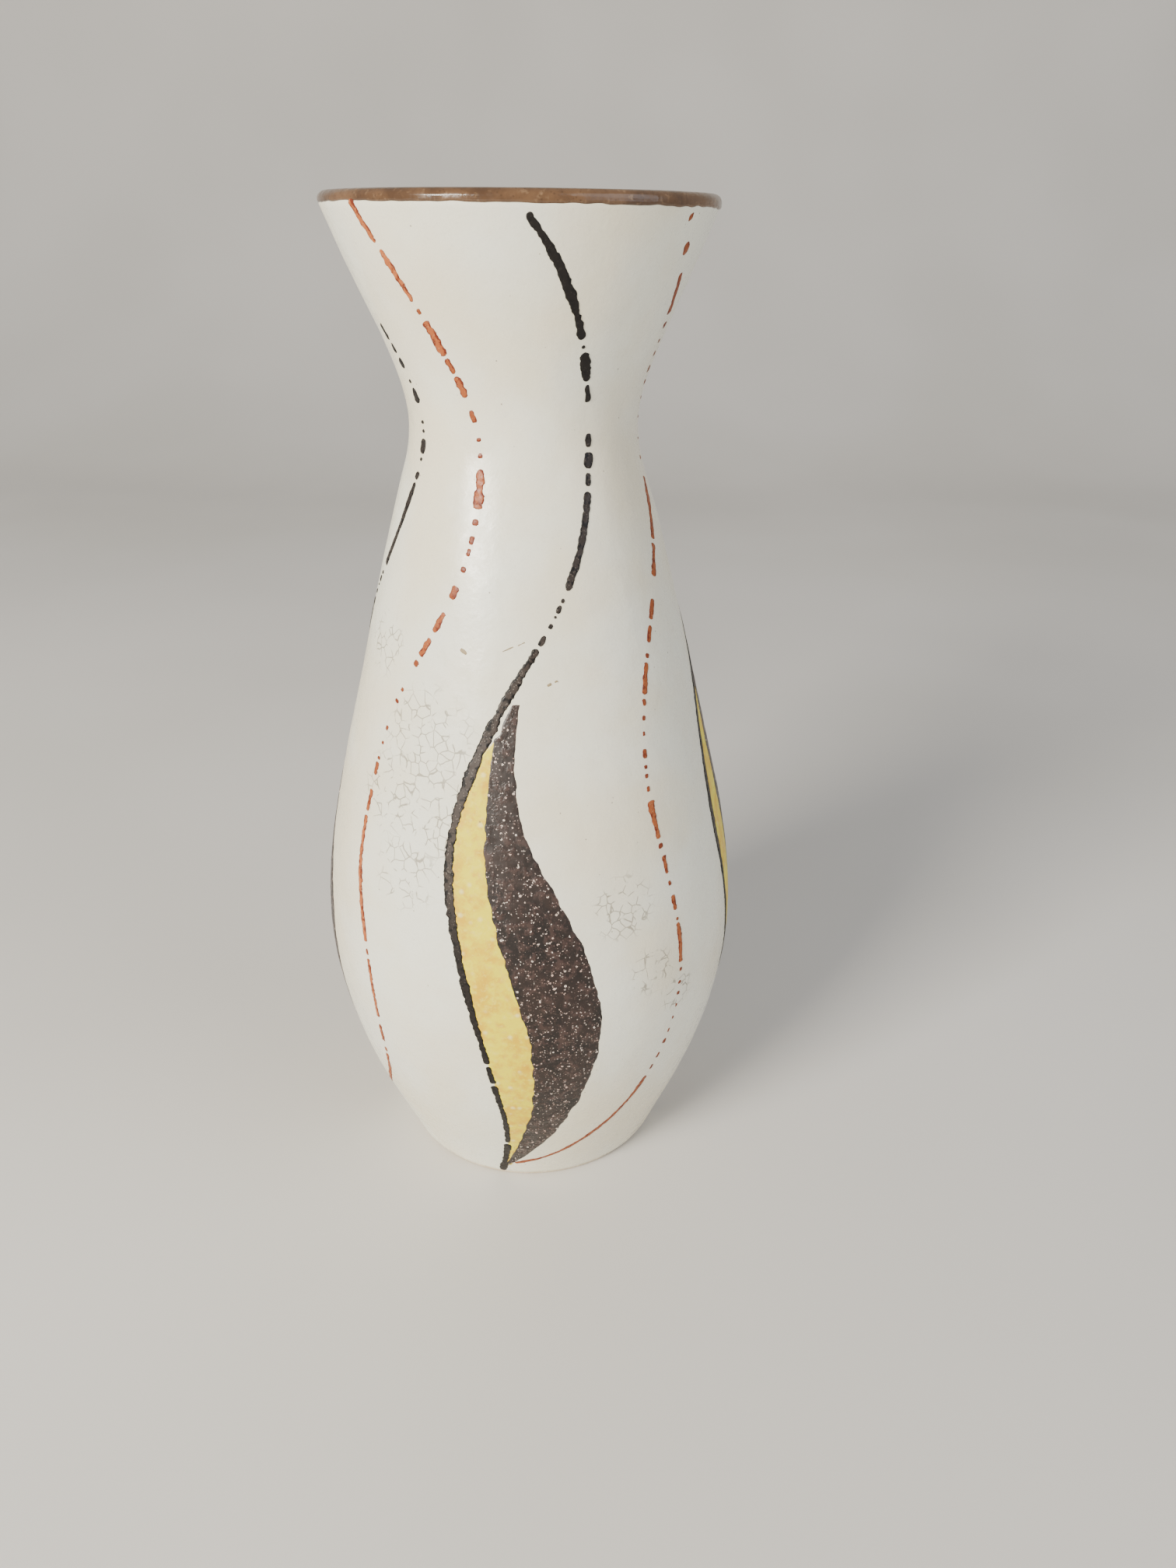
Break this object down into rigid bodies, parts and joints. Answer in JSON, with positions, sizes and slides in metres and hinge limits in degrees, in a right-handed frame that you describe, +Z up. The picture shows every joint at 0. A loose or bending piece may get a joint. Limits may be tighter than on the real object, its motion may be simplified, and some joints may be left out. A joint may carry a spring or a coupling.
{
  "type": "vase",
  "caption": "Ceramic vase with a trumpet mouth, narrow waist and full belly, white satin glaze, brown lip and painted leaf and line motifs running from rim to foot",
  "frame": {"origin": "centre of the ring the vase stands on, in the standing plane", "axes": "+Z up along the axis of the vase, -Y faces the front painted motif, +X to the right of it"},
  "size_m": [0.1112, 0.1112, 0.25],
  "materials": {
    "clay": "matte, bare fired clay",
    "white_glaze": "satin",
    "lip_glaze": "gloss",
    "lining_glaze": "gloss",
    "yellow_glaze": "satin",
    "leaf_brown_glaze": "satin",
    "black_pigment": "matte",
    "rust_pigment": "matte"
  },
  "bodies": {
    "root": {"clay_body": "clay", "white_glaze_coat": "white_glaze", "brown_lip_glaze": "lip_glaze", "inner_glaze": "lining_glaze", "yellow_leaf_1": "yellow_glaze", "brown_leaf_1": "leaf_brown_glaze", "black_line_1": "black_pigment", "rust_line_1": "rust_pigment", "yellow_leaf_2": "yellow_glaze", "brown_leaf_2": "leaf_brown_glaze", "black_line_2": "black_pigment", "rust_line_2": "rust_pigment", "yellow_leaf_3": "yellow_glaze", "brown_leaf_3": "leaf_brown_glaze", "black_line_3": "black_pigment", "rust_line_3": "rust_pigment", "yellow_leaf_4": "yellow_glaze", "brown_leaf_4": "leaf_brown_glaze", "black_line_4": "black_pigment", "rust_line_4": "rust_pigment"}
  },
  "joints": []
}
